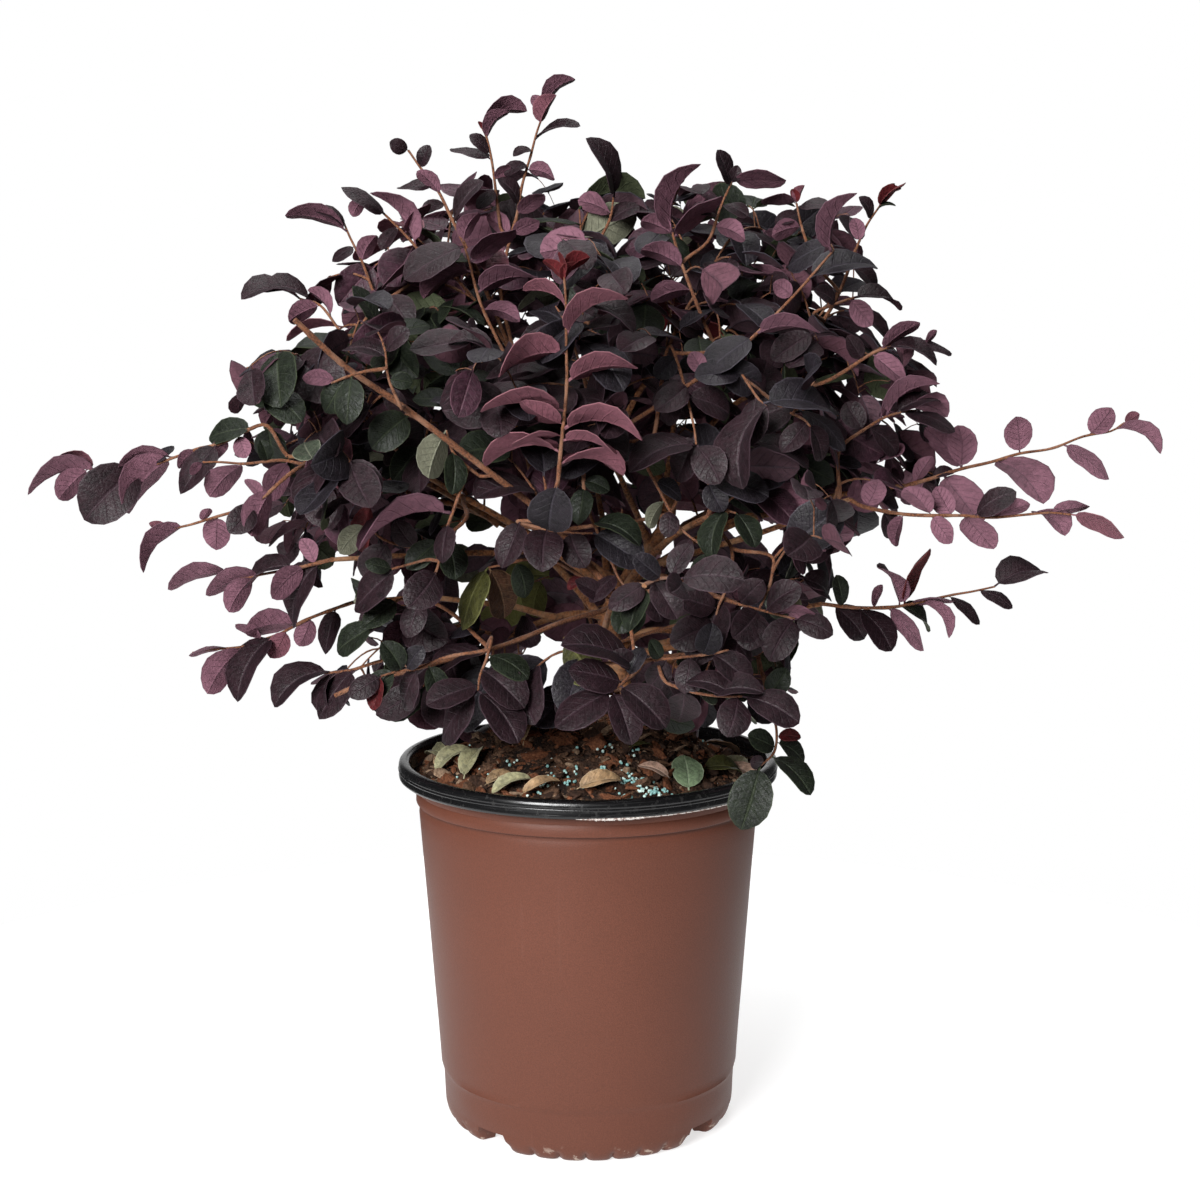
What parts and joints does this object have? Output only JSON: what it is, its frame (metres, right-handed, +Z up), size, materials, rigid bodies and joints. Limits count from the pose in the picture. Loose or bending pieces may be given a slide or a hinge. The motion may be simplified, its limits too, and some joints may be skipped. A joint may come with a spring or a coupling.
{
  "type": "potted chinese fringe flower",
  "caption": "Purple-leaved Chinese fringe flower shrub in a moulded nursery pot: short forked trunk, spreading boughs, rounded leafy crown with long arching side shoots.",
  "frame": {"origin": "on the pot's axis, at the level of the flat undersides of its feet", "axes": "+Z up, +X to the right of the plant's front, which faces -Y"},
  "size_m": [0.67, 0.524, 0.622],
  "materials": {
    "pot_plastic": "satin",
    "soil": "matte",
    "bark": "matte",
    "foliage": "satin"
  },
  "bodies": {
    "root": {"bough_back": "bark", "bough_back_left": "bark", "bough_back_right": "bark", "bough_back_shoot": "bark", "bough_far_right_top": "bark", "bough_front_left": "bark", "bough_front_right": "bark", "bough_front_shoot": "bark", "bough_hanging_shoot": "bark", "bough_left": "bark", "bough_left_lower_shoot": "bark", "bough_left_middle_shoot": "bark", "bough_left_upper_shoot": "bark", "bough_low_back": "bark", "bough_low_front": "bark", "bough_low_left": "bark", "bough_low_right": "bark", "bough_low_right_front": "bark", "bough_right": "bark", "bough_right_lower_shoot": "bark", "bough_right_middle_shoot": "bark", "bough_right_upper_shoot": "bark", "bough_spire": "bark", "bough_top_back_left": "bark", "bough_top_back_right": "bark", "bough_top_front": "bark", "bough_top_left": "bark", "bough_top_right": "bark", "foliage_back": "foliage", "foliage_back_left": "foliage", "foliage_back_right": "foliage", "foliage_back_shoot": "foliage", "foliage_far_right_top": "foliage", "foliage_front_left": "foliage", "foliage_front_right": "foliage", "foliage_front_shoot": "foliage", "foliage_hanging_shoot": "foliage", "foliage_left": "foliage", "foliage_left_lower_shoot": "foliage", "foliage_left_middle_shoot": "foliage", "foliage_left_upper_shoot": "foliage", "foliage_low_back": "foliage", "foliage_low_front": "foliage", "foliage_low_left": "foliage", "foliage_low_right": "foliage", "foliage_low_right_front": "foliage", "foliage_right": "foliage", "foliage_right_lower_shoot": "foliage", "foliage_right_middle_shoot": "foliage", "foliage_right_upper_shoot": "foliage", "foliage_spire": "foliage", "foliage_top_back_left": "foliage", "foliage_top_back_right": "foliage", "foliage_top_front": "foliage", "foliage_top_left": "foliage", "foliage_top_right": "foliage", "pot": "pot_plastic", "potting_soil": "soil", "trunk": "bark"}
  },
  "joints": []
}
